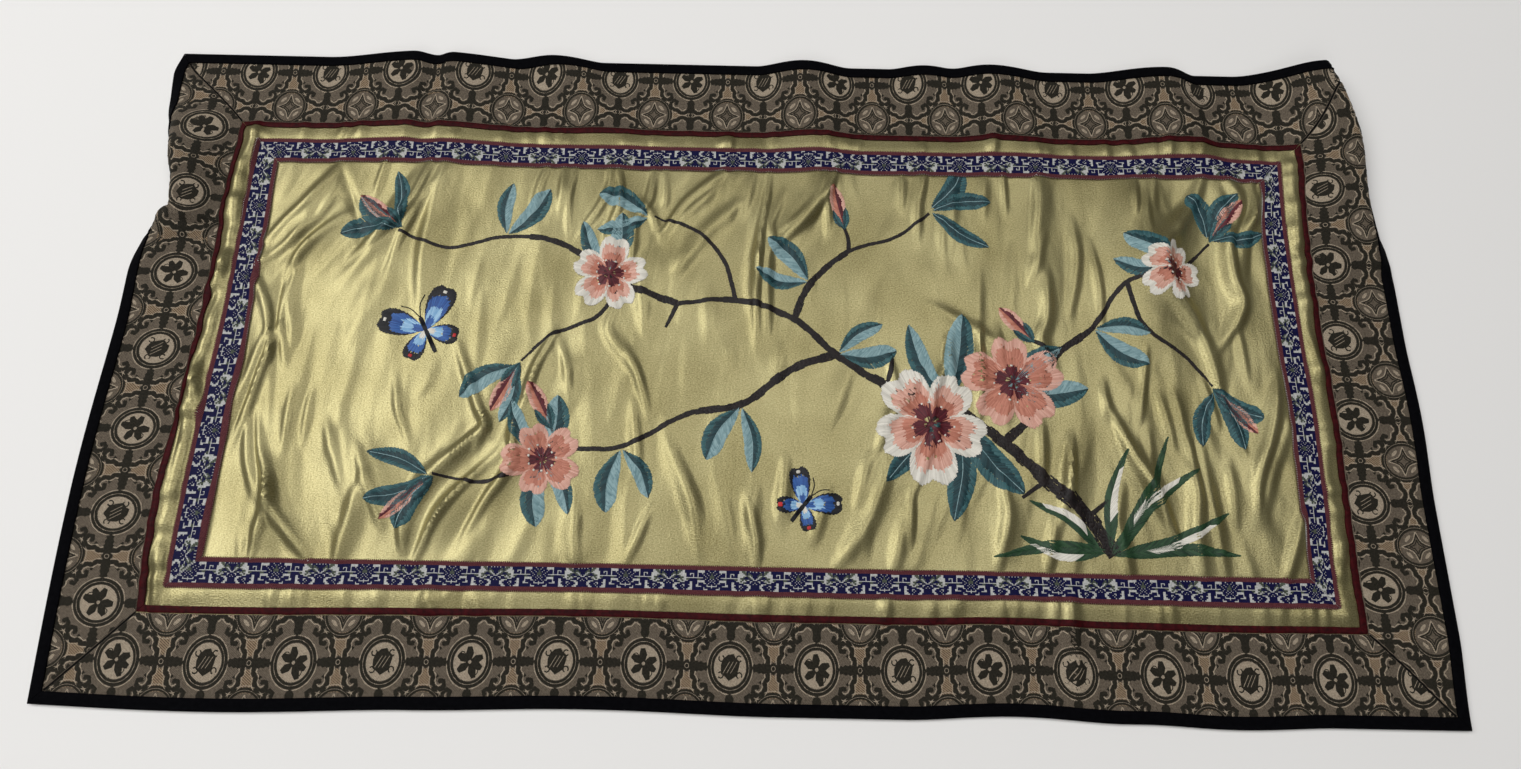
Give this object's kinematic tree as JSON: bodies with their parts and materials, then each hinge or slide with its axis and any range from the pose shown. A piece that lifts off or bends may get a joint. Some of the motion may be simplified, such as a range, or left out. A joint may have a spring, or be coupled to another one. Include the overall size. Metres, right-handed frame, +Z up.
{
  "type": "silk embroidered wall hanging",
  "caption": "Oblong satin panel lying face up in soft folds, framed by a woven ribbon, flat piping, a mitred brocade border and a folded binding.",
  "frame": {"origin": "middle of the lying cloth's box, on the surface that it lies on", "axes": "+X along the long side, to the right seen face on; +Y towards the far, top edge; +Z up out of the face"},
  "size_m": [0.9274, 0.4891, 0.022],
  "materials": {
    "satin": "gold silk satin, lustrous",
    "ribbon": "woven blue and white fret ribbon with plum edges",
    "piping": "dark red satin",
    "brocade": "taupe figured brocade",
    "binding": "black matt cloth"
  },
  "bodies": {
    "root": {"satin_ground": "satin", "ribbon_top": "ribbon", "ribbon_bottom": "ribbon", "ribbon_left": "ribbon", "ribbon_right": "ribbon", "piping_top": "piping", "piping_bottom": "piping", "piping_left": "piping", "piping_right": "piping", "brocade_top": "brocade", "brocade_bottom": "brocade", "brocade_left": "brocade", "brocade_right": "brocade", "binding_top": "binding", "binding_bottom": "binding", "binding_left": "binding", "binding_right": "binding"}
  },
  "joints": []
}
